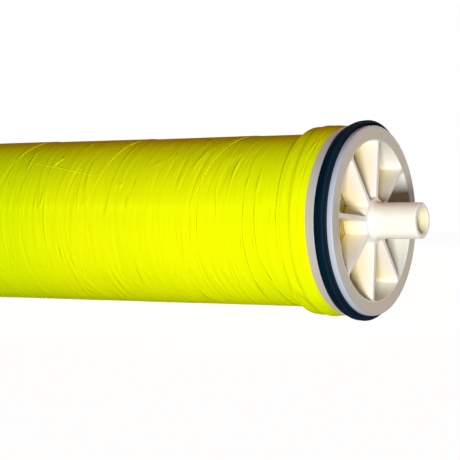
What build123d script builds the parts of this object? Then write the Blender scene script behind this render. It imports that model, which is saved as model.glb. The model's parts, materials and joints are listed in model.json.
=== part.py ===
from build123d import *
import math
import os

# Spiral-wound reverse osmosis membrane element, 4 inch class, 40 inches long, wrapped in tape.
# X runs along the element's axis and the end with the brine seal is +X. Z is up. The origin is
# on the axis, halfway between the two tips of the permeate tube. Sizes are in millimetres.
# Every size across the element is built up from the tube outwards, so that the roll, its wrap,
# the end caps and the seal stay seated on each other when one of them changes.

# Permeate tube: the perforated core that the leaves are wound on. Its ends are turned down a
# little, to the exact size that the seals of an interconnector need.
element_length = 1016.0
tube_od = 19.05
tube_wall = 3.025
tube_stub = 26.7
tube_tip_chamfer = 0.9
turned_depth = 0.25
turned_end_margin = 0.5
drain_hole_d = 3.2
drain_hole_spacing = 190.0
drain_end_margin = 60.0

# Roll of leaves: each leaf is two membrane sheets bonded over a permeate carrier cloth, and a
# net of feed spacer lies between one leaf and the next. A finer spacer gives more turns.
# The turns are drawn in short flats, and more flats make them rounder.
leaf_count = 5
roll_build = 35.75
membrane_thickness = 0.17
carrier_thickness = 0.32
spacer_thickness = 1.65
flats_per_step = 3

# End cap, which stops the roll from telescoping: rim, hub and spokes are one moulding
spoke_count = 8
spoke_clocking = 4.2
spoke_at_rim = 1.8
spoke_at_hub = 3.0
window_rim_cut = 1.2
wheel_depth = 13.3
hub_wall = 1.7
hub_proud = 0.8
skirt_wall = 3.95
skirt_under_tape = 16.9
bare_land = 4.6
lip_thickness = 3.1
groove_width = 7.6
groove_depth = 4.6
groove_floor_wall = 2.85

# Brine seal: a rubber cup ring whose open side faces the feed
seal_lip_height = 2.85
seal_side_gap = 0.3
seal_leg = 1.6
seal_heel = 2.8
seal_lip_tip = 1.3
seal_lip_round = 0.9
seal_shoulder = 1.2

# Outer wrap: tape wound over the roll and up over the skirts of both end caps
tape_thickness = 0.35
finishing_turn_width = 9.1
tape_slope_run = 2.0

# Clearances
lay_gap = 0.02
seat_gap = 0.3
hub_clearance = 0.05
skirt_clearance = 0.15

# Radii, from the tube outwards
tube_r = tube_od / 2
tube_bore_r = tube_r - tube_wall
tube_body_r = tube_r + turned_depth
core_wrap_r = tube_body_r + lay_gap + carrier_thickness
leaf_thickness = 2 * membrane_thickness + carrier_thickness
roll_r = core_wrap_r + roll_build
wrap_inner_r = roll_r + lay_gap
wrap_r = wrap_inner_r + tape_thickness
skirt_bore_r = roll_r + skirt_clearance
cap_r = skirt_bore_r + skirt_wall
groove_floor_r = cap_r - groove_depth
window_outer_r = groove_floor_r - groove_floor_wall
hub_bore_r = tube_body_r + hub_clearance
hub_r = hub_bore_r + hub_wall
seal_lip_r = cap_r + seal_lip_height
taped_land_r = cap_r + lay_gap

# Stations along the axis: face_x is the front of an end cap, and the rest lie behind it
face_x = element_length / 2 - tube_stub
tape_edge_x = face_x - lip_thickness - groove_width - bare_land
skirt_end_x = tape_edge_x - skirt_under_tape
wheel_back_x = face_x - wheel_depth
roll_half = wheel_back_x - seat_gap

# The roll winds outwards by one leaf and one feed channel in every step of 360 / leaf_count
flats_per_turn = leaf_count * flats_per_step
flat_angle = 360 / flats_per_turn
leaf_base_r = (core_wrap_r + lay_gap) / math.cos(math.radians(flat_angle / 2))
wound_height = roll_r - leaf_base_r - leaf_thickness
steps_per_leaf = math.floor(wound_height / (leaf_thickness + spacer_thickness + 2 * lay_gap))
winding_step = wound_height / steps_per_leaf


def spin(edges):
    """Solid of revolution about the axis, from the edges of an outline drawn as (x, radius)."""
    return revolve(Plane.XZ * make_face(edges), Axis.X)


def spin_points(points):
    """Solid of revolution about the axis, from the corners of an outline as (x, radius)."""
    return spin(Polyline(*points, close=True))


def at_far_end(piece):
    """The same piece turned round to the -X end."""
    return Rot(0, 0, 180) * piece


def heading(angle):
    """Unit vector across the axis, at an angle in degrees from +Y towards +Z."""
    return Vector(math.cos(math.radians(angle)), math.sin(math.radians(angle)))


def permeate_tube():
    """Tube with turned-down ends, and drain holes drilled across it, turn and turn about."""
    half = element_length / 2
    turned_x = face_x + hub_proud + turned_end_margin
    body = spin_points([
        (-half, tube_bore_r),
        (-half, tube_r - tube_tip_chamfer),
        (-half + tube_tip_chamfer, tube_r),
        (-turned_x, tube_r),
        (-turned_x, tube_body_r),
        (turned_x, tube_body_r),
        (turned_x, tube_r),
        (half - tube_tip_chamfer, tube_r),
        (half, tube_r - tube_tip_chamfer),
        (half, tube_bore_r),
    ])
    reach = 2 * (roll_half - drain_end_margin)
    stations = math.floor(reach / drain_hole_spacing) + 1
    for number in range(stations):
        x = (number - (stations - 1) / 2) * drain_hole_spacing
        quarter_turn = 90 * (number % 2)
        drill = extrude(RegularPolygon(drain_hole_d / 2, 6), tube_od, both=True)
        body -= Pos(x, 0, 0) * Rot(quarter_turn, 0, 0) * drill
    return body


def carrier_core_wrap():
    """First turn of permeate carrier cloth, laid on the tube in flats like the leaves'."""
    outside = RegularPolygon(core_wrap_r, flats_per_turn, major_radius=False)
    inside = RegularPolygon(tube_body_r + lay_gap, flats_per_turn, major_radius=False)
    return extrude(Plane.YZ.offset(-roll_half) * (outside - inside), 2 * roll_half)


def winding_point(leaf, flat, height):
    """Corner of a leaf's spiral where one of its flats starts, raised by a height."""
    radius = leaf_base_r + winding_step * flat / flats_per_step + height
    return heading((leaf * flats_per_step + flat) * flat_angle) * radius


def wound_sheet(leaf, steps, low, high):
    """Sheet wound with a leaf from the core for some steps, between two heights above it.

    All sheets have their corners on the same rays from the axis, and each ray meets the next
    sheet one winding step further out, so the sheets lie parallel and never cross.
    """
    flats = range(steps * flats_per_step + 1)
    under = [winding_point(leaf, flat, low) for flat in flats]
    over = [winding_point(leaf, flat, high) for flat in reversed(flats)]
    return extrude_along_roll(Polyline(*under, *over, close=True))


def extrude_along_roll(outline):
    """Solid over the roll's whole length, from an outline drawn across the axis."""
    return extrude(Plane.YZ.offset(-roll_half) * make_face(outline), 2 * roll_half)


def membrane_leaf(leaf):
    """One bonded leaf, wound from the core out to the wrap."""
    return wound_sheet(leaf, steps_per_leaf, 0, leaf_thickness)


def feed_spacer(leaf):
    """Net that lies on a leaf and fills the channel under the next one, up to the last step."""
    bottom = leaf_thickness + lay_gap
    return wound_sheet(leaf, steps_per_leaf - 1, bottom, winding_step - lay_gap)


def leaf_glue_line(leaf):
    """Bead that seals a leaf's outer end, in the step down to the next leaf under the wrap."""
    last = steps_per_leaf * flats_per_step
    drop = lay_gap - winding_step + leaf_thickness
    corners = [winding_point(leaf, last, drop), winding_point(leaf, last + 1, drop)]
    for corner in reversed(corners[:]):
        corners.append(corner.normalized() * roll_r)
    return extrude_along_roll(Polyline(*corners, close=True))


def spoke_side(angle, side):
    """Line along one side of a tapered spoke, from the hub to the rim."""
    along = heading(angle)
    across = heading(angle + 90) * side
    hub_half = spoke_at_hub / 2
    rim_half = spoke_at_rim / 2
    at_hub = along * math.sqrt(hub_r**2 - hub_half**2) + across * hub_half
    at_rim = along * math.sqrt(window_outer_r**2 - rim_half**2) + across * rim_half
    return Line(at_hub, at_rim)


def cap_window():
    """Outline of the opening between two spokes, with its corners at the rim cut."""
    pitch = 360 / spoke_count
    low = spoke_side(0, 1)
    high = spoke_side(pitch, -1)
    rim_middle = heading(pitch / 2) * window_outer_r
    hub_middle = heading(pitch / 2) * hub_r
    outline = make_face([
        low,
        high,
        ThreePointArc(low @ 1, rim_middle, high @ 1),
        ThreePointArc(low @ 0, hub_middle, high @ 0),
    ])
    middle_r = (window_outer_r + hub_r) / 2
    rim_corners = [v for v in outline.vertices() if Vector(v).length > middle_r]
    return chamfer(rim_corners, window_rim_cut)


def end_cap():
    """End cap at the +X end: spoked wheel, seal groove, and a skirt over the roll's end."""
    groove_front_x = face_x - lip_thickness
    groove_back_x = groove_front_x - groove_width
    body = spin_points([
        (face_x + hub_proud, hub_bore_r),
        (face_x + hub_proud, hub_r),
        (face_x, hub_r),
        (face_x, cap_r),
        (groove_front_x, cap_r),
        (groove_front_x, groove_floor_r),
        (groove_back_x, groove_floor_r),
        (groove_back_x, cap_r),
        (skirt_end_x, cap_r),
        (skirt_end_x, skirt_bore_r),
        (wheel_back_x, skirt_bore_r),
        (wheel_back_x, hub_bore_r),
    ])
    window = extrude(Plane.YZ.offset(wheel_back_x - 1) * cap_window(), wheel_depth + 2)
    first_spoke = 90 - spoke_clocking
    for number in range(spoke_count):
        body -= Rot(first_spoke + number * 360 / spoke_count, 0, 0) * window
    return body


def brine_seal():
    """Cup ring in the +X cap's groove: inner leg, heel, and a lip that stands above the rim."""
    front = face_x - lip_thickness - seal_side_gap
    back = front - groove_width + 2 * seal_side_gap
    inner_r = groove_floor_r + lay_gap
    return spin_points([
        (back, inner_r),
        (front, inner_r),
        (back + seal_heel, inner_r + seal_leg),
        (front, seal_lip_r - seal_lip_tip),
        (front - seal_lip_round, seal_lip_r),
        (back, cap_r + seal_shoulder),
    ])


def outer_wrap():
    """Tape over the roll, up the back edge of each skirt and along it, with a finishing turn."""
    foot_x = skirt_end_x - tape_slope_run
    top_x = skirt_end_x
    land_top_r = taped_land_r + tape_thickness
    turn_x = tape_edge_x - finishing_turn_width
    inner = [
        (foot_x, wrap_inner_r),
        (top_x - lay_gap, taped_land_r),
        (tape_edge_x, taped_land_r),
    ]
    outer = [
        (tape_edge_x, land_top_r + tape_thickness),
        (turn_x, land_top_r + tape_thickness),
        (turn_x, land_top_r),
        (top_x - tape_thickness / 2, land_top_r),
        (foot_x - tape_thickness / 2, wrap_r),
    ]
    half = inner + outer
    other_half = [(-x, r) for x, r in reversed(half)]
    return spin_points(half + other_half)


def build_nodes():
    """Every piece of the element, by its name."""
    nodes = {
        "permeate_tube": permeate_tube(),
        "carrier_core_wrap": carrier_core_wrap(),
        "feed_end_cap": end_cap(),
        "concentrate_end_cap": at_far_end(end_cap()),
        "brine_seal": brine_seal(),
        "outer_wrap": outer_wrap(),
    }
    for leaf in range(leaf_count):
        nodes[f"membrane_leaf_{leaf + 1}"] = membrane_leaf(leaf)
        nodes[f"feed_spacer_{leaf + 1}"] = feed_spacer(leaf)
        nodes[f"leaf_glue_line_{leaf + 1}"] = leaf_glue_line(leaf)
    return nodes


if __name__ == "__main__":
    os.makedirs("parts", exist_ok=True)
    for name, shape in build_nodes().items():
        export_step(shape, f"parts/{name}.step")
        print(name, round(shape.volume), "mm3")
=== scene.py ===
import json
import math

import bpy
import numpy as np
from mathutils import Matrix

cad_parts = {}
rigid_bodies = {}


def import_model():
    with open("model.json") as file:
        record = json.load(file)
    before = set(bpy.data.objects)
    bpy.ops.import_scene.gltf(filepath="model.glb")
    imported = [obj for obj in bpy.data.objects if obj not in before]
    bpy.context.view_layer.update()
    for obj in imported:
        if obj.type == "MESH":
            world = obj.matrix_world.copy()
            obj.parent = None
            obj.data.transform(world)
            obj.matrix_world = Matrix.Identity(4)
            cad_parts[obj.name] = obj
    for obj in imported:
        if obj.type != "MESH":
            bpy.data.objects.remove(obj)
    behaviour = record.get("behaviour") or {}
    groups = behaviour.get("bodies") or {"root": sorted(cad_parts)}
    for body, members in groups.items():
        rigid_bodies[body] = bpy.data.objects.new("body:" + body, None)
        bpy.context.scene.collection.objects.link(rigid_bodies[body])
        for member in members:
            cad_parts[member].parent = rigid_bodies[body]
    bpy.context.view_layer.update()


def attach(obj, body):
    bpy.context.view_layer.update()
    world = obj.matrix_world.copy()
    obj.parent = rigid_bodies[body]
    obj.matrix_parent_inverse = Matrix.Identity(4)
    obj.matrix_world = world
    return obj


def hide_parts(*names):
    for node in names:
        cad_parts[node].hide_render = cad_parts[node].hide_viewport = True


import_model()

# %% [markdown]
# # A spiral-wound reverse osmosis element
#
# The element is a long roll of membrane leaves on a plastic tube. Yellow tape holds the roll
# together and runs up over the skirt of a spoked end cap at each end. A black rubber ring sits
# in the groove of the cap at the feed end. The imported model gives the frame: every piece below
# is worked out in the same metres, with X along the axis and Z up, and takes the place of the
# plain solids that it covers.

MM = 0.001

# %% [markdown]
# ## Sizes that all the pieces share
#
# These repeat the sizes of the plain model, in millimetres. Angles round the axis are counted
# from +Y over +Z, so 90 degrees is the top and 180 degrees is the side that faces the camera.

# %% Shared sizes
HALF_LENGTH = 508.0
FACE_X = 481.3
TUBE_R = 9.525
TUBE_BODY_R = 9.775
BORE_R = 6.5
HUB_BORE_R = 9.825
WINDOW_R = 42.25
SKIRT_BORE_R = 46.015
CAP_R = 49.965
GROOVE_R = 45.365
WHEEL_DEPTH = 13.3
SKIRT_END = 32.2
ROLL_HALF = 467.7
ROLL_R = 45.865
SEAL_LIP_R = 52.815
SPOKES = 8
SPOKE_CLOCKING = 4.2
LAY_GAP = 0.02
RING_STEPS = 256
print("element", 2 * HALF_LENGTH, "mm long,", 2 * SEAL_LIP_R, "mm across the seal")


# %% [markdown]
# ## From arrays to meshes
#
# Each surface is a grid of points: one array axis runs round or along the piece and the other
# runs across it. The helpers join a grid into quads, weld the points that fall on each other,
# and drop the faces that the weld has flattened. Working on whole arrays is quick and keeps
# every formula in one place.

# %% Grid helpers
def grid_quads(rows, columns, close_rows=False, close_columns=False):
    """Corner numbers of the quads of a grid of points that is numbered row by row."""
    row = np.arange(rows if close_rows else rows - 1)
    column = np.arange(columns if close_columns else columns - 1)
    row, column = np.meshgrid(row, column, indexing="ij")
    next_row = (row + 1) % rows
    next_column = (column + 1) % columns
    corners = [row * columns + column, next_row * columns + column,
               next_row * columns + next_column, row * columns + next_column]
    return np.stack(corners, axis=-1).reshape(-1, 4)


def weld(points, faces, lids=(), grain=2e-7):
    """Points closer than the grain become one, and each face loses the corners that it repeats.

    Lids are rows of point numbers that close an open end with one flat face each.
    """
    keys = np.round(points / grain).astype(np.int64)
    _, first, number = np.unique(keys, axis=0, return_index=True, return_inverse=True)
    number = number.reshape(-1)
    faces = number[faces]
    repeats = faces == np.roll(faces, 1, axis=1)
    count = repeats.sum(axis=1)
    whole = faces[count == 0].tolist()
    cut = faces[count == 1]
    triangles = cut[~repeats[count == 1]].reshape(-1, 3).tolist() if len(cut) else []
    flat = [list(dict.fromkeys(number[lid].tolist())) for lid in lids]
    return points[first], whole + triangles + [lid for lid in flat if len(lid) > 2]


def add_object(name, points, faces, material, sharp_degrees=35):
    """Mesh object from points in metres, smooth but for edges sharper than an angle."""
    mesh = bpy.data.meshes.new(name)
    mesh.from_pydata(points, [], faces)
    mesh.validate()
    mesh.shade_smooth()
    mesh.set_sharp_from_angle(angle=math.radians(sharp_degrees))
    piece = bpy.data.objects.new(name, mesh)
    bpy.context.collection.objects.link(piece)
    mesh.materials.append(material)
    print(name, len(mesh.vertices), "vertices,", len(mesh.polygons), "faces")
    return piece


def ring_points(x, radius, angle):
    """Points at places along the axis, radii and angles, all in millimetres and radians.

    y = radius * cos(angle) and z = radius * sin(angle).
    """
    x, radius, angle = np.broadcast_arrays(x, radius, angle)
    return np.stack([x, radius * np.cos(angle), radius * np.sin(angle)], axis=-1) * MM


def turned_solid(profile, steps):
    """Closed ring or disc: a closed profile of (x, radius) carried round the axis."""
    profile = np.asarray(profile, dtype=float)
    angle = np.linspace(0, 2 * math.pi, steps, endpoint=False)[:, None]
    points = ring_points(profile[None, :, 0], profile[None, :, 1], angle)
    faces = grid_quads(steps, len(profile), close_rows=True, close_columns=True)
    return points.reshape(-1, 3), faces


def round_corners(corners, radii, steps=5):
    """Closed outline of (x, radius) corners, each rounded by an arc of its own radius.

    An arc starts and ends at radius * tan(turn / 2) from its corner, and its points are the
    corner's two neighbours turned about the arc's centre.
    """
    corners = np.asarray(corners, dtype=float)
    outline = []
    for here, before, after, radius in zip(
            corners, np.roll(corners, 1, axis=0), np.roll(corners, -1, axis=0), radii):
        if radius == 0:
            outline.append(here[None])
            continue
        back = (before - here) / np.linalg.norm(before - here)
        ahead = (after - here) / np.linalg.norm(after - here)
        half = math.acos(np.clip(back @ ahead, -1, 1)) / 2
        centre = here + (back + ahead) / np.linalg.norm(back + ahead) * radius / math.sin(half)
        start = here + back * radius / math.tan(half) - centre
        end = here + ahead * radius / math.tan(half) - centre
        part = np.linspace(0, 1, steps + 1)[:, None]
        sweep = math.pi - 2 * half
        arc = (np.sin((1 - part) * sweep) * start + np.sin(part * sweep) * end) / math.sin(sweep)
        outline.append(centre + arc)
    return np.concatenate(outline)


# %% [markdown]
# ## Finishes
#
# Every finish is a small node tree on Object coordinates, so it stays put on the piece from any
# side. A noise is stretched by scaling its coordinates before it is read: with Y and Z scaled
# down its marks run round the axis, and no seam shows anywhere.

# %% Node helpers
def new_finish(name):
    """Material with a Principled shader, and its tree's nodes and links."""
    material = bpy.data.materials.new(name)
    material.use_nodes = True
    tree = material.node_tree
    return material, tree, tree.nodes["Principled BSDF"]


def stretched_noise(tree, stretch, scale, detail=3.0, roughness=0.5):
    """Noise on Object coordinates that are first scaled by three factors."""
    place = tree.nodes.new("ShaderNodeTexCoord")
    mapping = tree.nodes.new("ShaderNodeMapping")
    mapping.inputs["Scale"].default_value = stretch
    noise = tree.nodes.new("ShaderNodeTexNoise")
    noise.inputs["Scale"].default_value = scale
    noise.inputs["Detail"].default_value = detail
    noise.inputs["Roughness"].default_value = roughness
    tree.links.new(place.outputs["Object"], mapping.inputs["Vector"])
    tree.links.new(mapping.outputs["Vector"], noise.inputs["Vector"])
    return noise.outputs["Fac"]


def ramp(tree, factor, stops):
    """Colour ramp over a factor, from stops of (position, colour)."""
    node = tree.nodes.new("ShaderNodeValToRGB")
    elements = node.color_ramp.elements
    while len(elements) < len(stops):
        elements.new(0.5)
    for element, (position, colour) in zip(elements, stops):
        element.position = position
        element.color = (*colour, 1)
    tree.links.new(factor, node.inputs["Fac"])
    return node.outputs["Color"]


def add_bump(tree, shader, heights):
    """Chain of bumps onto a shader, from (height socket, distance in metres, strength)."""
    normal = None
    for height, distance, strength in heights:
        bump = tree.nodes.new("ShaderNodeBump")
        bump.inputs["Distance"].default_value = distance
        bump.inputs["Strength"].default_value = strength
        tree.links.new(height, bump.inputs["Height"])
        if normal:
            tree.links.new(normal, bump.inputs["Normal"])
        normal = bump.outputs["Normal"]
    tree.links.new(normal, shader.inputs["Normal"])


# %% [markdown]
# ### Sums and places inside a node tree
#
# Small wrappers for the nodes that every finish needs: sums, blends, a point's place along the
# axis and its distance from it, and thin broken lines.

# %% Lines, blends and places in a finish
def fine_lines(tree, stretch, scale, width, breaks):
    """Thin broken lines: where a stretched noise passes its middle value, cut up by another noise.

    line = clip(1 - |noise - 0.5| / width, 0, 1) * clip(4 * (breaks - 0.45), 0, 1)
    """
    noise = stretched_noise(tree, stretch, scale, detail=1.5)
    off = calculate(tree, "ABSOLUTE", calculate(tree, "SUBTRACT", noise, 0.5))
    line = calculate(tree, "SUBTRACT", 1.0, calculate(tree, "DIVIDE", off, width), clamp=True)
    cut = stretched_noise(tree, (1, 1, 1), breaks, detail=1)
    part = calculate(tree, "MULTIPLY", calculate(tree, "SUBTRACT", cut, 0.45), 4.0, clamp=True)
    return calculate(tree, "MULTIPLY", line, part)


def calculate(tree, operation, first, second=0.0, clamp=False):
    """Math node over two values, each a socket or a number."""
    node = tree.nodes.new("ShaderNodeMath")
    node.operation = operation
    node.use_clamp = clamp
    for number, value in enumerate((first, second)):
        if isinstance(value, float):
            node.inputs[number].default_value = value
        else:
            tree.links.new(value, node.inputs[number])
    return node.outputs["Value"]


def blend(tree, factor, first, second, mode="MIX"):
    """Mix of two colours, each a socket or a triple."""
    node = tree.nodes.new("ShaderNodeMix")
    node.data_type = "RGBA"
    node.blend_type = mode
    if isinstance(factor, float):
        node.inputs[0].default_value = factor
    else:
        tree.links.new(factor, node.inputs[0])
    for number, value in ((6, first), (7, second)):
        if isinstance(value, tuple):
            node.inputs[number].default_value = (*value, 1)
        else:
            tree.links.new(value, node.inputs[number])
    return node.outputs[2]


def place_along(tree):
    """X of a point on the piece, and its distance from the axis, both in metres."""
    place = tree.nodes.new("ShaderNodeTexCoord")
    parts = tree.nodes.new("ShaderNodeSeparateXYZ")
    tree.links.new(place.outputs["Object"], parts.inputs["Vector"])
    across = tree.nodes.new("ShaderNodeCombineXYZ")
    tree.links.new(parts.outputs["Y"], across.inputs["Y"])
    tree.links.new(parts.outputs["Z"], across.inputs["Z"])
    length = tree.nodes.new("ShaderNodeVectorMath")
    length.operation = "LENGTH"
    tree.links.new(across.outputs["Vector"], length.inputs[0])
    return parts.outputs["X"], length.outputs["Value"]


def between(tree, value, low, high):
    """Rises from 0 to 1 while the value goes from low to high."""
    node = tree.nodes.new("ShaderNodeMapRange")
    node.inputs["From Min"].default_value = low
    node.inputs["From Max"].default_value = high
    tree.links.new(value, node.inputs["Value"])
    return node.outputs["Result"]


# %% [markdown]
# ### Yellow tape
#
# The tape is a thin film in a strong yellow. Pulled tight over the soft roll it has fine ripples
# that run round it. Its mirror reflection is kept close to nothing, since a stronger one would
# carry the white floor up both sides of the roll.

# %% Yellow tape finish
def tape_finish():
    """Yellow film: slow changes of hue, faint streaks, fine creases and ripples."""
    material, tree, shader = new_finish("yellow_tape")
    slow = stretched_noise(tree, (1, 0.6, 0.6), 9, detail=1)
    hue = blend(tree, between(tree, slow, 0.35, 0.65), (0.80, 0.97, 0.0006), (0.90, 0.98, 0.0010))
    streaks = stretched_noise(tree, (1, 0.05, 0.05), 300, detail=3)
    shade = ramp(tree, streaks, [(0.25, (0.95, 0.95, 0.95)), (0.55, (1.0, 1.0, 1.0))])
    tree.links.new(blend(tree, 1.0, hue, shade, "MULTIPLY"), shader.inputs["Base Color"])
    shader.inputs["Roughness"].default_value = 0.26
    shader.inputs["Specular IOR Level"].default_value = 0.0
    shader.inputs["Specular Tint"].default_value = (1.0, 0.98, 0.2, 1)
    shader.inputs["Metallic"].default_value = 0.03
    ripples = stretched_noise(tree, (1, 0.05, 0.05), 420, detail=3)
    long_creases = fine_lines(tree, (1, 0.10, 0.10), 55, 0.030, 40)
    short_creases = fine_lines(tree, (1, 0.13, 0.13), 110, 0.035, 75)
    add_bump(tree, shader, [(ripples, 0.0003, 0.8), (long_creases, 0.0005, 1.0),
                            (short_creases, 0.0003, 1.0)])
    return material


# %% [markdown]
# ### Moulded plastic
#
# End caps and tube are off-white moulded plastic that lets a little light in, so that their
# shadows turn warm. Moulding leaves a faint unevenness in the gloss. Painted shade darkens the
# walls of the caps' windows towards their backs and the tube's bore, and painted cool light tints
# the caps' outer walls bluish.

# %% Moulded plastic finishes
# Where one colour gives way to the next, in metres: along the axis for the first two, and out
# from the axis for the others.
PAINTED_SHADE_DEPTH_ZONE, OUTSIDE_ZONE = (0.4803, 0.4680), (0.4660, 0.4813)
ARC_ZONE, RIM_ZONE, SKIN_ZONE = (0.0405, 0.0418), (0.0424, 0.0430), (0.0482, 0.0498)
# Out from the axis, where the bore's painted shade takes over from the tube's colour.
BORE_SHADE_ZONE = (0.0072, 0.0066)


def moulded_finish(name, light, deep, roughness, glow, zone_colours_with_painted_light=None, painted_bore_shade=None):
    """Off-white plastic with soft colour clouds, slight subsurface light and faint waviness.

    The zone colours give the colour of the rim's face; a painted shade, darker and more yellow,
    that the windows' walls take towards their backs; a bluish white on the windows' outer walls,
    40.5 to 42 mm from the axis, which is painted cool light; and the colours of the outside from
    the tape's edge, 466 mm along, to the front face: tan by the tape, then grey, then a bluish tint
    towards the front that is painted cool light. The bore colour, inside 7 mm from the axis, is
    painted shade.
    """
    material, tree, shader = new_finish(name)
    clouds = stretched_noise(tree, (1, 1, 1), 45, detail=2)
    colour = ramp(tree, clouds, [(0.3, deep), (0.7, light)])
    if zone_colours_with_painted_light:
        rim_colour, painted_depth_shade, arc_painted_cool_light, outside_and_painted_cool_stops = zone_colours_with_painted_light
        along, out = place_along(tree)
        along = calculate(tree, "ABSOLUTE", along)
        # Painted shade: the windows' walls turn darker and more yellow towards their backs.
        colour = blend(tree, between(tree, along, *PAINTED_SHADE_DEPTH_ZONE), colour,
                       blend(tree, 1.0, colour, painted_depth_shade, "MULTIPLY"))
        # Painted cool light: the outside turns bluish towards the front face, and the windows'
        # outer walls are bluish white.
        outside = ramp(tree, between(tree, along, *OUTSIDE_ZONE), outside_and_painted_cool_stops)
        colour = blend(tree, between(tree, out, *ARC_ZONE), colour, arc_painted_cool_light)
        colour = blend(tree, between(tree, out, *RIM_ZONE), colour, rim_colour)
        colour = blend(tree, between(tree, out, *SKIN_ZONE), colour, outside)
    # Painted shade inside the tube's bore: darker and more yellow within about 7 mm of the axis.
    if painted_bore_shade:
        _, out = place_along(tree)
        colour = blend(tree, between(tree, out, *BORE_SHADE_ZONE), colour, painted_bore_shade)
    tree.links.new(colour, shader.inputs["Base Color"])
    shader.inputs["Roughness"].default_value = roughness
    shader.inputs["Specular IOR Level"].default_value = 0.3
    shader.inputs["Subsurface Weight"].default_value = glow
    shader.inputs["Subsurface Radius"].default_value = (1.0, 0.55, 0.28)
    shader.inputs["Subsurface Scale"].default_value = 0.004
    flow = stretched_noise(tree, (1, 1, 1), 140, detail=2)
    grain = stretched_noise(tree, (1, 1, 1), 1800, detail=1)
    add_bump(tree, shader, [(flow, 0.0004, 0.25), (grain, 0.00005, 0.3)])
    return material


# %% [markdown]
# ### Seal rubber
#
# The seal is blue-black moulded rubber with faint marks along its turning direction. A band round
# the front of the lip is painted a little greyer: a painted sheen.

# %% Seal rubber finish
# Where the seal's painted sheen rises and falls, in metres along the axis.
SHEEN_BAND_START, SHEEN_BAND_END = (0.4758, 0.4770), (0.4800, 0.4788)


def rubber_finish():
    """Near-black rubber, matt, with fine rings and a faint dusting.

    The greyer band, a painted sheen, lies 477 to 479 mm along: one ramp that rises times one that
    falls.
    """
    material, tree, shader = new_finish("black_rubber")
    dust = stretched_noise(tree, (1, 0.3, 0.3), 160, detail=3)
    colour = ramp(tree, dust, [(0.35, (0.0010, 0.0095, 0.020)), (0.7, (0.0025, 0.014, 0.028))])
    along, _ = place_along(tree)
    # Painted sheen: a greyer band round the front of the lip.
    painted_sheen_band = calculate(tree, "MULTIPLY", between(tree, along, *SHEEN_BAND_START),
                     between(tree, along, *SHEEN_BAND_END))
    colour = blend(tree, painted_sheen_band, colour, (0.009, 0.024, 0.043))
    tree.links.new(colour, shader.inputs["Base Color"])
    gloss = ramp(tree, dust, [(0.3, (0.42, 0.42, 0.42)), (0.7, (0.52, 0.52, 0.52))])
    tree.links.new(gloss, shader.inputs["Roughness"])
    shader.inputs["Specular IOR Level"].default_value = 0.003
    shader.inputs["Specular Tint"].default_value = (0.55, 0.85, 1.0, 1)
    rings = stretched_noise(tree, (1, 0.08, 0.08), 900, detail=2)
    add_bump(tree, shader, [(rings, 0.0001, 0.35)])
    return material


# %% [markdown]
# ### Sheets, and the finishes of this element
#
# Membrane, spacer net, cloth and glue share one matt finish in different colours. Then every
# finish is made once, and the pieces below share them.

# %% Sheet finish, and all the finishes
def sheet_finish(name, light, deep, roughness):
    """Matt sheet or cloth, in two tones that follow its length and its turns."""
    material, tree, shader = new_finish(name)
    mottle = stretched_noise(tree, (0.4, 1, 1), 260, detail=4)
    tree.links.new(ramp(tree, mottle, [(0.35, deep), (0.65, light)]), shader.inputs["Base Color"])
    shader.inputs["Roughness"].default_value = roughness
    shader.inputs["Specular IOR Level"].default_value = 0.25
    grain = stretched_noise(tree, (1, 1, 1), 2600, detail=2)
    add_bump(tree, shader, [(grain, 0.0001, 0.4)])
    return material


MEMBRANE = sheet_finish("cream_membrane", (0.90, 0.74, 0.33), (0.78, 0.60, 0.20), 0.6)
SPACER = sheet_finish("amber_spacer_net", (0.68, 0.52, 0.18), (0.46, 0.32, 0.07), 0.5)
GLUE = sheet_finish("glue_line", (0.36, 0.25, 0.07), (0.26, 0.17, 0.04), 0.35)
CLOTH = sheet_finish("carrier_cloth", (0.60, 0.52, 0.34), (0.50, 0.42, 0.25), 0.8)
TAPE = tape_finish()
# Cap outside from the tape's edge to the front face: tan, grey, then a bluish tint that is painted
# cool light.
OUTSIDE_AND_PAINTED_COOL_STOPS = [(0.0, (0.57, 0.49, 0.34)), (0.2, (0.48, 0.46, 0.46)), (0.8, (0.50, 0.51, 0.57)),
                 (0.97, (0.49, 0.55, 0.68))]
# The cap's depth tint is painted shade, and its bluish outer-wall and outside colours are painted
# cool light.
CAP_PLASTIC = moulded_finish(
    "cream_cap_plastic", (0.95, 0.92, 0.87), (0.93, 0.895, 0.83), 0.38, 0.05,
    zone_colours_with_painted_light=((0.64, 0.58, 0.46), (0.93, 0.82, 0.44), (0.86, 0.89, 0.83), OUTSIDE_AND_PAINTED_COOL_STOPS))
# The tube's bore colour is painted shade.
TUBE_PLASTIC = moulded_finish(
    "cream_tube_plastic", (0.98, 0.97, 0.88), (0.96, 0.95, 0.84), 0.30, 0.08,
    painted_bore_shade=(0.90, 0.82, 0.58))
RUBBER = rubber_finish()
FINISHES = [MEMBRANE, SPACER, GLUE, CLOTH, TAPE, CAP_PLASTIC, TUBE_PLASTIC, RUBBER]
print("finishes:", ", ".join(material.name for material in FINISHES))

# %% [markdown]
# ## The roll
#
# Five leaves of membrane are wound round the tube with a spacer net between them. Their ends show
# as a spiral through the windows of the caps. Each is a ribbon along a spiral: its radius grows
# evenly with the angle, radius = start + growth * angle, and the ribbon is drawn out along the
# whole roll. The glue lines and the cloth on the tube stay as the plain model has them.

# %% Spiral leaves and spacers
LEAF_START_R = 10.361
WINDING_STEP = 2.489
LEAF_THICKNESS, SPACER_THICKNESS = 0.66, 1.65
LEAF_TURNS, NET_SHORTER = 2.8, 0.2
LEAVES = 5
LEAF_ANGLE = 72
SPIRAL_STEPS = 96


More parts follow.
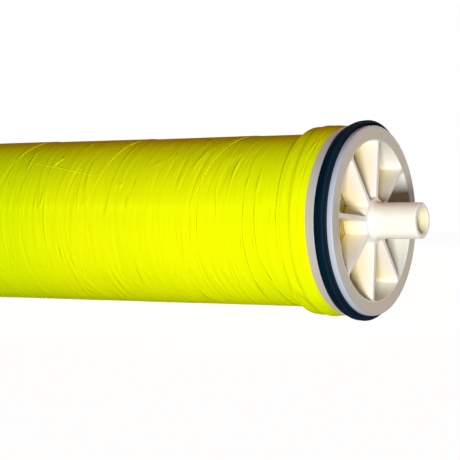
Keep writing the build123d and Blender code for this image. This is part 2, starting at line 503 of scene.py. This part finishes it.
def spiral_ribbon(name, first_angle, start_r, thickness, turns, material):
    """Closed ribbon wound along a spiral and drawn out to both ends of the roll."""
    steps = int(turns * SPIRAL_STEPS) + 1
    turn = np.linspace(0, turns * 2 * math.pi, steps)
    inner = start_r + WINDING_STEP * turn / math.radians(LEAF_ANGLE)
    inner = np.minimum(inner, ROLL_R - thickness - LAY_GAP)
    outer = inner + thickness
    angle = math.radians(first_angle) + turn
    section_r = np.stack([inner, outer, outer, inner], axis=1)
    section_x = np.array([[-ROLL_HALF, -ROLL_HALF, ROLL_HALF, ROLL_HALF]])
    points = ring_points(section_x, section_r, angle[:, None])
    faces = grid_quads(steps, 4, close_columns=True).tolist()
    last = 4 * (steps - 1)
    faces += [[3, 2, 1, 0], [last, last + 1, last + 2, last + 3]]
    piece = add_object(name, points.reshape(-1, 3), faces, material)
    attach(piece, "root")
    return piece


for number in range(1, LEAVES + 1):
    start = LEAF_ANGLE * (number - 1)
    leaf = spiral_ribbon(f"wound_leaf_{number}", start, LEAF_START_R, LEAF_THICKNESS, LEAF_TURNS,
                         MEMBRANE)
    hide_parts(f"membrane_leaf_{number}")
    net = spiral_ribbon(f"wound_spacer_{number}", start, LEAF_START_R + LEAF_THICKNESS + LAY_GAP,
                        SPACER_THICKNESS, LEAF_TURNS - NET_SHORTER, SPACER)
    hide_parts(f"feed_spacer_{number}")

for thing in bpy.data.objects:
    if thing.name.startswith("leaf_glue_line"):
        thing.data.materials.clear()
        thing.data.materials.append(GLUE)
    elif thing.name == "carrier_core_wrap":
        thing.data.materials.clear()
        thing.data.materials.append(CLOTH)

# %% [markdown]
# ## The tape over the roll
#
# A long tape is wound round the roll like a screw thread. Each turn lies 68 mm further along
# and laps over the turn before it, so one thin edge shows per turn. The surface is built as the
# tape really lies: a strip whose rows go round and whose columns go across the tape. Where the
# strip would run past the roll's end it is cut off square.
#
# Tension pulls the film into long low creases that run round the roll. Each crease is a bell
# curve across a line, x = place + slope * angle + bend * angle squared, and fades out at both
# ends of that line. They come in bundles, as tape puckers do.

# %% Creases in the tape
TAPE_PITCH = 68.0
TAPE_THICKNESS = 0.22
TAPE_BASE_R = 46.06
EDGE_X, EDGE_ANGLE = 330.3, math.radians(155)
WRAP_LIMIT = 447.6
LAP_EDGE_WIDTH, LAP_EDGE_DROP = 0.12, 0.02

# Place, angle in degrees, half length in degrees, slope and bend in mm per radian, width, height.
# The first twenty lie where the photo shows creases. The others were set beside them.
SEEN_CREASES = [
    (312.2, 205, 34, 4, 5, 0.93, -0.32), (281.5, 205, 38, 0.5, 3, 0.85, -0.3),
    (344.8, 215, 34, -3.6, 0.5, 0.85, -0.28), (278.5, 150, 22, -4.5, 0, 0.85, -0.32),
    (314.8, 146, 22, -6.8, 3, 0.93, -0.36), (349.3, 150, 20, -4.7, 0, 0.93, -0.32),
    (383.2, 146, 20, -2.4, 1, 0.78, -0.3), (395.8, 145, 28, -4.7, 1, 1.01, -0.4),
    (411.6, 150, 20, -3.8, 0, 0.85, -0.36), (398.5, 225, 26, 2, -3, 0.78, -0.3),
    (410, 229, 24, 7, -4, 0.93, -0.32), (416.5, 147, 16, -4.2, 0, 0.7, 0.24),
    (391.8, 140, 18, -6, 2, 0.78, 0.28), (404.5, 152, 14, -4, 0, 0.7, -0.26),
    (413.8, 143, 17, -4, 0, 0.7, -0.3), (419.4, 141, 15, -4.4, 0, 0.7, -0.28),
    (422.6, 139, 13, -4.4, 0, 0.7, -0.24), (404, 222, 22, 5, -3, 0.78, -0.26),
    (417, 226, 20, 7.5, -4, 0.85, -0.26), (424.5, 224, 18, 7, -4, 0.78, -0.24),
    (387.3, 149, 15, -4.2, 0, 0.6, -0.24), (400.9, 141, 12, -5.0, 1, 0.6, -0.24),
    (407.9, 139, 13, -4.4, 0, 0.6, 0.2), (376.4, 143, 14, -3.2, 1, 0.65, -0.24),
    (369.6, 150, 16, -3.6, 0, 0.65, -0.2), (426.8, 150, 12, -4.4, 0, 0.6, -0.2),
    (402.2, 231, 14, 6, -3, 0.6, -0.22), (413.3, 219, 13, 6, -3, 0.6, -0.22),
    (420.8, 231, 13, 7, -4, 0.6, -0.22), (388.6, 222, 18, 3, -2, 0.65, -0.22),
    (371.5, 229, 16, 1, -1, 0.65, -0.2), (356.0, 222, 18, -1, 1, 0.7, -0.2),
]


def crease_table(seed, low, high, bundles):
    """Rows of random creases between two places along the axis, in bundles of two to seven."""
    rng = np.random.default_rng(seed)
    rows = []
    for _ in range(bundles):
        place = rng.uniform(low, high)
        angle = rng.uniform(0, 360)
        slope, bend = rng.normal(-1.5, 4.0), rng.normal(1.5, 3.0)
        for _ in range(rng.integers(2, 8)):
            place += rng.uniform(1.8, 4.6)
            rows.append((place, angle + rng.normal(0, 9), rng.uniform(8, 30),
                         slope + rng.normal(0, 0.8), bend, rng.uniform(0.6, 1.0),
                         rng.choice([-1, 1]) * rng.uniform(0.04, 0.20)))
    return rows


def crease_height(x, angle, table):
    """Sum of the creases' heights at places along the axis and angles round it."""
    x, angle = np.broadcast_arrays(x, angle)
    height = np.zeros(x.shape)
    for place, middle, half_length, slope, bend, width, depth in table:
        turn = (angle - math.radians(middle) + math.pi) % (2 * math.pi) - math.pi
        away = (x - (place + slope * turn + bend * turn**2)) / width
        along = turn / math.radians(half_length)
        near = (np.abs(away) < 3.5) & (np.abs(along) < 1)
        height[near] += depth * np.exp(-away[near] ** 2) * np.cos(along[near] * math.pi / 2) ** 2
    return height


# %% [markdown]
# ### The strip itself
#
# The strip is long, so it is built in four pieces that meet row on row. Each is a closed solid:
# the creased surface outside, two lines of points on the roll inside, and a flat lid at each end.

# %% Tape strip over the roll
CREASES = SEEN_CREASES + crease_table(11, -440, 440, 120)
print("creases in the tape", len(CREASES))


def wrap_height(x, angle):
    """Slow unevenness of the roll under the tape, plus the creases, both fading at the ends.

    The unevenness is 0.05 mm * sin(2 * angle + x / 41 mm) + 0.04 mm * sin(3 * angle - x / 27 mm).
    """
    slow = 0.05 * np.sin(2 * angle + x / 41) + 0.04 * np.sin(3 * angle - x / 27)
    fade = np.clip((WRAP_LIMIT - np.abs(x)) / 6, 0, 1)
    return (slow + crease_height(x, angle, CREASES)) * fade


def lap_thickness(angle):
    """Step at the tape's edge: its full thickness at the top and 0.3 of it below the horizon."""
    return TAPE_THICKNESS * (0.3 + 0.7 * np.clip(np.sin(angle), 0, 1))


def lap_share(x, angle):
    """Share of the tape's width from the strip's left edge to a place, from 0 to 1."""
    left = EDGE_X - TAPE_PITCH * (angle - EDGE_ANGLE) / (2 * math.pi)
    return ((x - left) % TAPE_PITCH) / TAPE_PITCH


def closed_strip(name, outside, inside):
    """Solid between an outer and an inner grid of points, row by row, with a lid at each end."""
    section = np.concatenate([outside, inside], axis=1)
    rows, count = section.shape[:2]
    faces = grid_quads(rows, count, close_columns=True)
    number = np.arange(rows * count).reshape(rows, count)
    points, faces = weld(section.reshape(-1, 3), faces, [number[0], number[-1, ::-1]])
    piece = add_object(name, points, faces, TAPE, sharp_degrees=60)
    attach(piece, "root")
    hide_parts("outer_wrap")
    return piece


def tape_strip(name, first_turn, last_turn, rows_per_turn=120, columns=160):
    """Closed strip of tape: rows go round by the turn, and columns go across the tape.

    x = edge - pitch * (angle - edge angle) / 360 degrees + across, radius = base + lap, where
    the lap grows from nothing to lap_thickness across the strip.
    """
    rows = int(round((last_turn - first_turn) * rows_per_turn)) + 1
    angle = np.linspace(first_turn, last_turn, rows)[:, None] * 2 * math.pi
    across = np.linspace(0, TAPE_PITCH, columns)
    across = np.concatenate([across[:-1], [TAPE_PITCH - LAP_EDGE_WIDTH, TAPE_PITCH]])[None]
    left = EDGE_X - TAPE_PITCH * (angle - EDGE_ANGLE) / (2 * math.pi)
    x = np.clip(left + across, -WRAP_LIMIT, WRAP_LIMIT)
    lap = lap_thickness(angle) * (x - left) / TAPE_PITCH
    lap[:, -1] -= LAP_EDGE_DROP
    outside = ring_points(x, TAPE_BASE_R + lap + wrap_height(x, angle), angle)
    inside = ring_points(x[:, [-1, 0]], ROLL_R + LAY_GAP, angle)
    return closed_strip(name, outside, inside)


def turn_where_edge_is(x):
    """Turn at which the strip's left edge comes past a place along the axis."""
    return (EDGE_X - x) / TAPE_PITCH + EDGE_ANGLE / (2 * math.pi)


FIRST_TURN = turn_where_edge_is(WRAP_LIMIT)
LAST_TURN = turn_where_edge_is(-WRAP_LIMIT - TAPE_PITCH)
print("turns of tape", round(LAST_TURN - FIRST_TURN, 2))

WRAP_PIECES = 4
turns = np.linspace(FIRST_TURN, LAST_TURN, WRAP_PIECES + 1)
for number in range(WRAP_PIECES):
    tape_strip(f"roll_tape_{number + 1}", turns[number], turns[number + 1])

# %% [markdown]
# ### Cut end of a tape
#
# Near the camera a tape ends in a slanting cut that shows as a thin raised line, with one small
# fold pinched across it.

# %% Seam and fold
RIDGE_ROOT = 0.15


def tape_ridge(name, start, end, half_width, height):
    """Closed low ridge on the tape, from one place to another, both (x, angle in degrees).

    rise = height * cos(pi * across / 2)^2 * (1 - |2 * along - 1|^4)
    """
    along = np.linspace(0, 1, 60)[:, None]
    across = np.linspace(1, -1, 9)[None]
    start, end = (np.array([x, math.radians(angle)]) for x, angle in (start, end))
    step = end - start
    way = step * (1, TAPE_BASE_R) / np.hypot(step[0], step[1] * TAPE_BASE_R)
    x = start[0] + step[0] * along - way[1] * across * half_width
    angle = start[1] + step[1] * along + way[0] * across * half_width / TAPE_BASE_R
    top = TAPE_BASE_R + lap_thickness(angle) * lap_share(x, angle) + wrap_height(x, angle)
    rise = height * np.cos(across * math.pi / 2) ** 2 * (1 - np.abs(2 * along - 1) ** 4)
    outside = ring_points(x, top + rise, angle)
    inside = ring_points(x[:, ::-1], top[:, ::-1] - RIDGE_ROOT, angle[:, ::-1])
    return closed_strip(name, outside, inside)


tape_ridge("tape_end_seam", (278.4, 133.9), (329.0, 147.8), 0.6, 0.2)
tape_ridge("tape_end_fold", (296.3, 138.6), (300.4, 130.1), 0.9, 0.5)

# %% [markdown]
# ## The tape over the end caps
#
# At each end the tape climbs the back of the cap's skirt and runs along it, and a last turn goes
# round on top. The profile is drawn with its distance from the cap's front face, and then each
# point of it may move as the angle changes: the front edge of the tape is not quite square, and
# the last turn sits a little askew.

# %% Tape over a cap
CAP_TAPE_BORE_R = 49.98


def cap_tape(name, mirror, seed, lean):
    """Closed ring of tape over a cap's skirt: a profile of (x, radius) that shifts with the angle.

    Front edge x = -15.5 + 1.3 * lean * rise, back edge of the last turn x = -24.4 - 3.0 * lean *
    rise and its crease x = -20.2 + 2.2 * lean * rise**0.5, where rise is the fourth power of the
    sine of the angle above the horizon. The land is 0.24 mm lower at the top than at the bottom.
    """
    steps = RING_STEPS
    angle = np.linspace(0, 2 * math.pi, steps, endpoint=False)[:, None]
    rise = np.clip(np.sin(angle), 0, 1) ** 4
    front = -15.5 + 1.3 * lean * rise + 0.08 * np.sin(7 * angle + seed)
    turn = -24.4 - 3.0 * lean * rise
    crease = -20.2 + 2.2 * lean * rise**0.5
    foot = -34.5 + 0.12 * np.sin(3 * angle + seed)
    across = [
        (foot, 46.02), (foot, 46.36), (foot + 0.3, 46.55), (foot + 0.75, 47.4), (foot + 1.1, 48.4),
        (foot + 1.65, 49.15), (foot + 2.4, 49.68), (foot + 3.4, 50.03), (foot + 4.6, 50.20),
        (foot + 6.0, 50.22), (turn - 1.5, 50.18), (turn - 0.9, 50.26), (turn + 0.1, 50.64),
        (turn + 0.7, 50.80), (turn + 1.5, 50.84), (crease - 0.9, 50.66), (crease - 0.2, 50.47),
        (crease + 0.5, 50.45), (crease + 1.1, 50.40), (front - 1.2, 50.16), (front - 0.12, 50.08),
        (front, 50.04), (front, CAP_TAPE_BORE_R),
    ]
    x = np.concatenate([np.broadcast_to(place, (steps, 1)) for place, _ in across], axis=1)
    radius = np.array([radius for _, radius in across])[None]
    fine = np.linspace(0, len(across) - 1, 5 * (len(across) - 1) + 1)
    low = np.minimum(fine.astype(int), len(across) - 2)
    part = (fine - low)[None]
    x = x[:, low] * (1 - part) + x[:, low + 1] * part
    radius = radius[:, low] * (1 - part) + radius[:, low + 1] * part
    table = crease_table(seed, -33, -17, 26)
    table = [(p, a, h, s * 0.15, b * 0.1, w, d * 0.4) for p, a, h, s, b, w, d in table]
    hold = np.clip(np.minimum(x - foot - 2.0, front - 0.4 - x), 0, 1)
    lower = 0.12 * (np.sin(angle) + 1) * np.clip((radius - 46.4) / 4, 0, 1)
    radius = np.maximum(radius - lower, np.minimum(radius, 50.0)) + hold * crease_height(
        x, np.broadcast_to(angle, x.shape), table)
    inside_x = np.broadcast_to(np.array([[-SKIRT_END - LAY_GAP]]), (steps, 1))
    x = np.concatenate([x, inside_x], axis=1)
    radius = np.concatenate([radius, np.full((steps, 1), CAP_TAPE_BORE_R)], axis=1)
    outline = ring_points(x + FACE_X, radius, angle)
    faces = grid_quads(steps, outline.shape[1], close_rows=True, close_columns=True)
    points = outline.reshape(-1, 3) * mirror
    piece = add_object(name, points, faces, TAPE, sharp_degrees=50)
    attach(piece, "root")
    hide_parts("outer_wrap")
    return piece


NEAR_END = np.array([1.0, 1.0, 1.0])
FAR_END = np.array([-1.0, -1.0, 1.0])
cap_tape("feed_cap_tape", NEAR_END, 3, 1.0)
cap_tape("concentrate_cap_tape", FAR_END, 8, 0.4)

# %% [markdown]
# ## The end caps
#
# A cap is one moulding: a thick rim with a seal groove, a skirt behind it, a hub, and eight thin
# spokes with rounded corners at both of their ends. Its surface is one closed skin of three
# kinds of patch. Each window between two spokes gets a patch whose one direction follows the
# window's outline and whose other direction comes in over the back face, through the window's
# wall, round its front edge and out over the front face. The rim and the hub are profiles
# carried round the axis, with their points at the same angles, so the patches weld.

# %% Outline of a window
CORNER_AT_RIM, CORNER_AT_HUB = 1.6, 1.6
SPOKE_AT_HUB, SPOKE_AT_RIM = 2.7, 1.9
HUB_RING_R = 11.75
HALF_PITCH = math.pi / SPOKES
SIDE_STEPS, CORNER_STEPS, ARC_STEPS = 16, 6, 12


def fillet_between(side_point, side_way, inward, circle_r, corner, outer):
    """Centre and ends of an arc that rounds the corner between a straight side and a circle.

    The centre lies one corner radius off the side, and at the circle's radius less the corner
    radius (plus it, at the hub).
    """
    reach = circle_r - corner if outer else circle_r + corner
    base = side_point + inward * corner
    along = base @ side_way
    centre = base + side_way * (-along + math.sqrt(along**2 - base @ base + reach**2))
    return centre, centre - inward * corner, centre * circle_r / reach


def arc_points(centre, start, end, steps):
    """Points of the short arc round a centre from start to end, both included."""
    first = math.atan2(*(start - centre)[::-1])
    sweep = (math.atan2(*(end - centre)[::-1]) - first + math.pi) % (2 * math.pi) - math.pi
    angle = first + sweep * np.linspace(0, 1, steps + 1)
    radius = np.linalg.norm(start - centre)
    return centre + radius * np.stack([np.cos(angle), np.sin(angle)], axis=1)


def both_halves(half):
    """Closed outline from its first half, mirrored in the line halfway between two spokes."""
    flip = np.array([[math.cos(2 * HALF_PITCH), math.sin(2 * HALF_PITCH)],
                     [math.sin(2 * HALF_PITCH), -math.cos(2 * HALF_PITCH)]])
    other = (half @ flip.T)[::-1]
    return np.concatenate([half, other[1:-1]])


def window_outline():
    """Closed outline of the window between one spoke and the next, symmetric about its middle."""
    hub_point = np.array([math.sqrt(HUB_RING_R**2 - (SPOKE_AT_HUB / 2) ** 2), SPOKE_AT_HUB / 2])
    rim_point = np.array([math.sqrt(WINDOW_R**2 - (SPOKE_AT_RIM / 2) ** 2), SPOKE_AT_RIM / 2])
    way = (rim_point - hub_point) / np.linalg.norm(rim_point - hub_point)
    inward = np.array([-way[1], way[0]])
    rim_c, rim_side, rim_arc = fillet_between(
        hub_point, way, inward, WINDOW_R, CORNER_AT_RIM, True)
    hub_c, hub_side, hub_arc = fillet_between(
        hub_point, way, inward, HUB_RING_R, CORNER_AT_HUB, False)
    side = hub_side + (rim_side - hub_side) * np.linspace(0, 1, SIDE_STEPS + 1)[:, None]
    rim_corner = arc_points(rim_c, rim_side, rim_arc, CORNER_STEPS)
    hub_corner = arc_points(hub_c, hub_arc, hub_side, CORNER_STEPS)
    middle = np.array([math.cos(HALF_PITCH), math.sin(HALF_PITCH)])
    rim_half = arc_points(np.zeros(2), rim_arc, middle * WINDOW_R, ARC_STEPS)
    hub_half = arc_points(np.zeros(2), middle * HUB_RING_R, hub_arc, ARC_STEPS)
    first_half = np.concatenate([side[:-1], rim_corner[:-1], rim_half])
    start_half = np.concatenate([hub_half[:-1], hub_corner[:-1]])
    return both_halves(np.concatenate([start_half, first_half]))


def sector_outline(hub_r, rim_r):
    """Partners of the window's points, on the hub's circle, a spoke's middle line and the rim."""
    corner_and_arc = CORNER_STEPS + ARC_STEPS
    turn = np.linspace(HALF_PITCH, 0, corner_and_arc + 1)[:-1]
    hub = np.stack([np.cos(turn), np.sin(turn)], axis=1) * hub_r
    line = np.linspace(hub_r, rim_r, SIDE_STEPS + 1)
    side = np.stack([line, np.zeros_like(line)], axis=1)[:-1]
    rim = np.stack([np.cos(turn[::-1]), np.sin(turn[::-1])], axis=1) * rim_r
    rim = np.concatenate([np.array([[rim_r, 0.0]]), rim])
    return both_halves(np.concatenate([hub, side, rim]))


print("points round a window", len(window_outline()))

# %% [markdown]
# ### One cap
#
# The sector's patch is turned to its eight places, and the rim and the hub are turned round the
# axis. The whole skin is then welded into one closed mesh.

# %% One cap
RIM_FACE_R = 49.1
HUB_FACE_R = 11.75
HUB_LIP_R = 9.79
CAP_STEPS = SPOKES * 2 * (CORNER_STEPS + ARC_STEPS)


def outline_normal(outline):
    """Unit vectors across a closed outline, pointing away from its inside."""
    ahead = np.roll(outline, -1, axis=0) - np.roll(outline, 1, axis=0)
    normal = np.stack([ahead[:, 1], -ahead[:, 0]], axis=1)
    normal /= np.linalg.norm(normal, axis=1)[:, None]
    middle = outline.mean(axis=0)
    outwards = np.sum(normal * (outline - middle), axis=1).sum() > 0
    return normal if outwards else -normal


def cap_sector():
    """Grid of one sector: rows follow the window's outline, columns go from back to front face.

    At the front edge the wall turns outwards by a quarter circle: outline + normal * r * (1 -
    cos t), x = -r * (1 - sin t).
    """
    window = window_outline()
    normal = outline_normal(window)
    edge = 0.2
    back = sector_outline(HUB_BORE_R, SKIRT_BORE_R)
    front = sector_outline(HUB_FACE_R, RIM_FACE_R)
    columns = []
    for part in np.linspace(0, 1, 4)[:-1]:
        columns.append((-WHEEL_DEPTH, back + (window - back) * part))
    for depth in np.linspace(-WHEEL_DEPTH, -edge, 9)[:-1]:
        columns.append((depth, window))
    for turn in np.linspace(0, math.pi / 2, 5):
        outwards = normal * edge * (1 - math.cos(turn))
        columns.append((-edge * (1 - math.sin(turn)), window + outwards))
    start = columns[-1][1]
    for part in np.linspace(0, 1, 5)[1:]:
        columns.append((0.0, start + (front - start) * part))
    x = np.array([depth for depth, _ in columns])
    flat = np.stack([line for _, line in columns], axis=1)
    return x, flat


def end_cap(name, mirror):
    """Closed skin of a whole cap, placed at its end of the element."""
    depth, flat = cap_sector()
    points, faces, count = [], [], 0
    first_spoke = math.radians(90 - SPOKE_CLOCKING)
    for number in range(SPOKES):
        turn = first_spoke + number * 2 * HALF_PITCH
        spin = np.array([[math.cos(turn), -math.sin(turn)], [math.sin(turn), math.cos(turn)]])
        across = flat @ spin.T
        x = np.broadcast_to(depth[None, :, None] + FACE_X, across.shape[:2] + (1,))
        points.append(np.concatenate([x, across], axis=2).reshape(-1, 3) * MM)
        faces.append(grid_quads(*flat.shape[:2], close_rows=True)[:, ::-1] + count)
        count += len(points[-1])
    angle = (first_spoke + np.arange(CAP_STEPS) * 2 * math.pi / CAP_STEPS)[:, None]
    rim = round_corners(
        [(0.0, RIM_FACE_R), (0.0, CAP_R), (-3.1, CAP_R), (-3.1, GROOVE_R), (-10.7, GROOVE_R),
         (-10.7, CAP_R), (-SKIRT_END, CAP_R), (-SKIRT_END, SKIRT_BORE_R),
         (-WHEEL_DEPTH, SKIRT_BORE_R)],
        [0, 0.75, 0.25, 0.3, 0.3, 0.25, 0.3, 0.2, 0])
    hub = round_corners(
        [(-WHEEL_DEPTH, HUB_BORE_R), (0.2, HUB_BORE_R), (0.98, HUB_LIP_R), (0.66, 9.98),
         (0.22, 10.5), (0.04, 11.1), (0.0, HUB_FACE_R)],
        [0, 0.15, 0.0, 0.3, 0.5, 0.5, 0])
    for profile in (rim, hub):
        grid = ring_points(profile[None, :, 0] + FACE_X, profile[None, :, 1], angle)
        points.append(grid.reshape(-1, 3))
        faces.append(grid_quads(CAP_STEPS, len(profile), close_rows=True)[:, ::-1] + count)
        count += len(points[-1])
    points, faces = weld(np.concatenate(points) * mirror, np.concatenate(faces), grain=5e-6)
    piece = add_object(name, points, faces, CAP_PLASTIC, sharp_degrees=40)
    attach(piece, "root")
    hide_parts(name.replace("moulded_", ""))
    return piece


end_cap("moulded_feed_end_cap", NEAR_END)
end_cap("moulded_concentrate_end_cap", FAR_END)

# %% [markdown]
# ## The brine seal
#
# The seal is a cup ring: a foot in the groove and a lip that flares out and forwards. The lip is
# soft, so it does not sit at the same place all round. Each profile point slides along the axis
# in proportion to its height above the cap, by (0.95 * sin(angle) - 0.45) mm at the crown.

# %% Brine seal
def brine_seal():
    """Closed rubber ring whose lip leans forwards at the top and backwards at the bottom."""
    profile = round_corners(
        [(-10.35, 45.40), (-3.4, 45.40), (-3.3, 49.2), (-5.2, 49.0), (-3.7, 51.4), (-3.55, 52.83),
         (-6.6, 52.60), (-9.4, 51.45), (-10.5, 49.9), (-10.4, 47.0)],
        [0.3, 0.15, 0.3, 0.7, 0.3, 0.30, 2.4, 0.7, 0.6, 1.0])[::-1]
    steps = RING_STEPS
    angle = np.linspace(0, 2 * math.pi, steps, endpoint=False)[:, None]
    x, radius = profile[None, :, 0], profile[None, :, 1]
    height = np.clip((radius - 49.6) / (SEAL_LIP_R - 49.6), 0, 1)
    shift = (-0.45 + 0.95 * np.sin(angle)) * height
    ahead = np.clip(x + shift, -10.6, -3.25) * (height > 0) + x * (height <= 0)
    points = ring_points(ahead + FACE_X, radius, angle)
    faces = grid_quads(steps, profile.shape[0], close_rows=True, close_columns=True)
    piece = add_object("rubber_brine_seal", points.reshape(-1, 3), faces, RUBBER, sharp_degrees=50)
    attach(piece, "root")
    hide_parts("brine_seal")
    return piece


brine_seal()

# %% [markdown]
# ## The permeate tube
#
# The tube is turned down a little where it stands out of the hub, and its tip and mouth are
# eased so that an interconnector slides on without cutting its rings.

# %% Permeate tube
STEP_AHEAD, STEP_RUN = 1.1, 1.6
MOUTH_R, MOUTH_DEPTH = 7.3, 0.9


def permeate_tube():
    """Closed tube: one profile of (x, radius) from tip to tip, carried round the axis."""
    step_x = FACE_X + STEP_AHEAD
    outer = [(-HALF_LENGTH, TUBE_R), (-step_x - STEP_RUN, TUBE_R), (-step_x, TUBE_BODY_R),
             (step_x, TUBE_BODY_R), (step_x + STEP_RUN, TUBE_R), (HALF_LENGTH, TUBE_R)]
    corners = outer + [(HALF_LENGTH, MOUTH_R), (HALF_LENGTH - MOUTH_DEPTH, BORE_R),
                       (-HALF_LENGTH + MOUTH_DEPTH, BORE_R), (-HALF_LENGTH, MOUTH_R)]
    radii = [1.1, 1.0, 1.0, 1.0, 1.0, 1.1, 0.25, 0.3, 0.3, 0.25]
    points, faces = turned_solid(round_corners(corners, radii, steps=7), 96)
    piece = add_object("turned_permeate_tube", points, faces, TUBE_PLASTIC, sharp_degrees=40)
    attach(piece, "root")
    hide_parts("permeate_tube")
    return piece


permeate_tube()

# %% [markdown]
# ## Floor and world
#
# Rays from the camera and off a gloss see a white floor and world. Soft light finds both dark,
# so that neither washes out the tape, and the floor still takes the element's shadow.

# %% Floor and world
def seen_directly(tree):
    """1 for rays from the camera, off a gloss or through a clear part, and 0 for soft light."""
    path = tree.nodes.new("ShaderNodeLightPath")
    sharp = calculate(tree, "MAXIMUM", path.outputs["Is Camera Ray"], path.outputs["Is Glossy Ray"])
    return calculate(tree, "MAXIMUM", sharp, path.outputs["Is Transmission Ray"])


def floor_finish():
    """Floor that looks white and keeps the shadow, and is dark to soft light.

    Its diffuse colour is 0.18, so it throws little of the key lamp back up at the roll.
    """
    material, tree, shader = new_finish("pale_floor")
    shader.inputs["Base Color"].default_value = (0.18, 0.18, 0.18, 1)
    shader.inputs["Roughness"].default_value = 0.9
    shader.inputs["Specular IOR Level"].default_value = 0.0
    glow = tree.nodes.new("ShaderNodeEmission")
    glow.inputs["Color"].default_value = (1, 1, 1, 1)
    glow.inputs["Strength"].default_value = 0.97
    nothing = tree.nodes.new("ShaderNodeEmission")
    nothing.inputs["Strength"].default_value = 0.0
    choice = tree.nodes.new("ShaderNodeMixShader")
    tree.links.new(seen_directly(tree), choice.inputs["Fac"])
    tree.links.new(nothing.outputs["Emission"], choice.inputs[1])
    tree.links.new(glow.outputs["Emission"], choice.inputs[2])
    add = tree.nodes.new("ShaderNodeAddShader")
    tree.links.new(shader.outputs["BSDF"], add.inputs[0])
    tree.links.new(choice.outputs["Shader"], add.inputs[1])
    tree.links.new(add.outputs["Shader"], tree.nodes["Material Output"].inputs["Surface"])
    material.cycles.emission_sampling = "NONE"
    return material


def add_floor(half=6.0):
    """Flat floor under the seal's lowest point, which is what the element rests on."""
    z = -SEAL_LIP_R * MM
    points = np.array([(-half, -half, z), (half, -half, z), (half, half, z), (-half, half, z)])
    floor = add_object("studio_floor", points, [[0, 1, 2, 3]], floor_finish())
    floor.visible_shadow = False
    return floor


add_floor()

world = bpy.data.worlds.new("studio_world")
bpy.context.scene.world = world
world.use_nodes = True
tree = world.node_tree
background = tree.nodes["Background"]
background.inputs["Color"].default_value = (1, 1, 1, 1)
background.inputs["Strength"].default_value = 0.032
seen = tree.nodes.new("ShaderNodeBackground")
seen.inputs["Color"].default_value = (1, 1, 1, 1)
seen.inputs["Strength"].default_value = 1.0
choice = tree.nodes.new("ShaderNodeMixShader")
tree.links.new(seen_directly(tree), choice.inputs["Fac"])
tree.links.new(background.outputs["Background"], choice.inputs[1])
tree.links.new(seen.outputs["Background"], choice.inputs[2])
tree.links.new(choice.outputs["Shader"], tree.nodes["World Output"].inputs["Surface"])
print("soft light from the world", round(background.inputs["Strength"].default_value, 3))

# %% [markdown]
# ## Lamps
#
# A small key lamp stands near the camera. A cooler one on the left fills the roll's far end, and
# a weak warm one comes over the top. Two white lamps light the side that the camera doesn't see.

# %% Lamps
def aim(thing, place, target):
    """Puts a lamp or camera at a place, in metres, with its -Z axis towards a target."""
    way = np.subtract(target, place)
    back = -way / np.linalg.norm(way)
    right = np.cross((0, 0, 1), back)
    right /= np.linalg.norm(right)
    up = np.cross(back, right)
    turn = np.eye(4)
    turn[:3, 0], turn[:3, 1], turn[:3, 2], turn[:3, 3] = right, up, back, place
    thing.matrix_world = Matrix(turn.tolist())


def add_lamp(name, way, distance, size, power, colour, target=(0.36, 0, 0)):
    """Square soft lamp in a direction from the target, facing it."""
    lamp = bpy.data.lights.new(name, "AREA")
    lamp.shape = "SQUARE"
    lamp.size = size
    lamp.energy = power
    lamp.color = colour
    thing = bpy.data.objects.new(name, lamp)
    bpy.context.collection.objects.link(thing)
    way = np.array(way) / np.linalg.norm(way)
    aim(thing, np.array(target) + way * distance, target)
    print(name, power, "W")
    return thing


add_lamp("key_lamp", (0.42, -0.88, -0.22), 1.3, 0.28, 18.5, (1.0, 0.985, 0.96), (0.45, 0, 0))
add_lamp("cool_lamp", (-0.50, -0.75, 0.22), 2.2, 0.30, 4.0, (0.50, 0.72, 1.0))
add_lamp("warm_lamp", (0.10, 0.55, 0.80), 2.0, 0.6, 12, (1.0, 0.20, 0.06))
add_lamp("back_lamp", (-0.62, 0.77, -0.10), 2.4, 0.8, 45, (1.0, 1.0, 1.0), (-0.1, 0, 0))
add_lamp("side_lamp", (0.10, 0.99, 0.05), 2.4, 0.8, 10, (1.0, 0.98, 0.95), (0.45, 0, 0))

# %% [markdown]
# ## Camera
#
# The camera's place, direction and focal length were solved once from the photo's outlines. The
# focal length is kept in pixels of a picture 460 wide.

# %% Camera
SENSOR_WIDTH = 36.0
CAMERA_PLACE = (0.87008, -0.79333, 0.00078)
CAMERA_TURN, CAMERA_RISE = math.radians(-31.092), math.radians(-0.373)
PHOTO_WIDTH, FOCUS_PIXELS = 460, 1676.76

camera_data = bpy.data.cameras.new("photo_camera")
camera_data.sensor_width = SENSOR_WIDTH
camera_data.sensor_fit = "HORIZONTAL"
camera_data.lens = SENSOR_WIDTH * FOCUS_PIXELS / PHOTO_WIDTH
camera_data.clip_end = 100
camera = bpy.data.objects.new("photo_camera", camera_data)
bpy.context.collection.objects.link(camera)
look = np.array([math.sin(CAMERA_TURN) * math.cos(CAMERA_RISE),
                 math.cos(CAMERA_TURN) * math.cos(CAMERA_RISE), math.sin(CAMERA_RISE)])
aim(camera, np.array(CAMERA_PLACE), np.array(CAMERA_PLACE) + look)
bpy.context.scene.camera = camera
bpy.context.scene.view_settings.view_transform = "Standard"
print("camera lens", round(camera_data.lens, 2), "mm")
